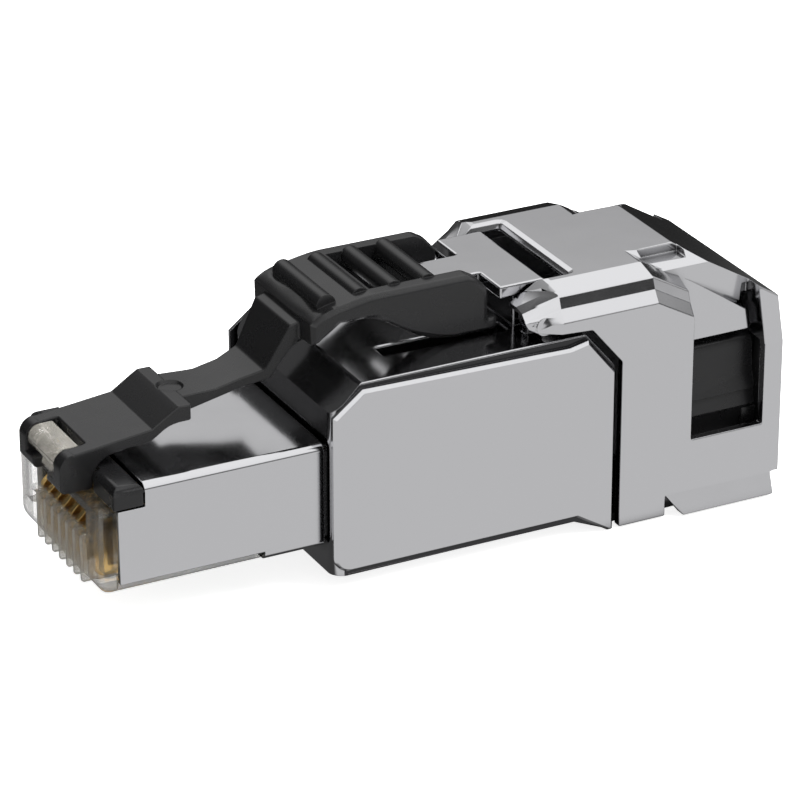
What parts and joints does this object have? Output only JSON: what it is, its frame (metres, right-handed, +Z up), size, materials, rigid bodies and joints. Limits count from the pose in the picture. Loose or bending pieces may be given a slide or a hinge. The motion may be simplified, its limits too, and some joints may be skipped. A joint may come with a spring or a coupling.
{
  "type": "shielded rj45 modular plug",
  "caption": "Shielded field-fitted rj45 plug: clear contact nose, latch lever with ribbed grip, metal housing, hinged rear cover.",
  "frame": {"origin": "middle of the length on the centre plane, at the height of the underside", "axes": "+X from the nose to the cable, +Z up with the latch lever on top, +Y to the left seen from the cable end looking at the nose"},
  "size_m": [0.0442, 0.0148, 0.0167],
  "materials": {
    "housing_metal": "bright nickel plating on die-cast zinc",
    "cover_metal": "bright nickel plating on die-cast zinc",
    "shield_metal": "nickel-plated folded sheet",
    "clear_plastic": "clear moulded",
    "black_plastic": "satin moulded",
    "lever_plastic": "fine-grained moulded",
    "relief_plastic": "satin moulded",
    "manager_plastic": "satin moulded",
    "block_plastic": "satin moulded",
    "board": "solder mask",
    "contact_gold": "gold plated",
    "terminal_metal": "tin plated",
    "pin_steel": "bright"
  },
  "bodies": {
    "plug": {"front_housing": "housing_metal", "nose_shield": "shield_metal", "contact_carrier": "clear_plastic", "front_crosspiece": "black_plastic", "circuit_board": "board", "terminal_block": "block_plastic", "wire_manager": "manager_plastic", "strain_relief": "relief_plastic", "hinge_pin_left": "pin_steel", "hinge_pin_right": "pin_steel", "contact_1": "contact_gold", "contact_2": "contact_gold", "contact_3": "contact_gold", "contact_4": "contact_gold", "contact_5": "contact_gold", "contact_6": "contact_gold", "contact_7": "contact_gold", "contact_8": "contact_gold", "terminal_1": "terminal_metal", "terminal_2": "terminal_metal", "terminal_3": "terminal_metal", "terminal_4": "terminal_metal", "terminal_5": "terminal_metal", "terminal_6": "terminal_metal", "terminal_7": "terminal_metal", "terminal_8": "terminal_metal"},
    "lever": {"latch_lever": "lever_plastic"},
    "cover": {"rear_cover": "cover_metal"}
  },
  "joints": [
    {"name": "latch_press", "type": "hinge", "parent": "plug", "child": "lever", "pos_m": [-0.02125, 0, 0.00948], "axis": [0, 1, 0], "range_deg": [0, 6], "stiffness_Nm_per_rad": 0.6},
    {"name": "cover_hinge", "type": "hinge", "parent": "plug", "child": "cover", "pos_m": [0.0065, 0, 0.01362], "axis": [0, -1, 0], "range_deg": [0, 60]}
  ]
}
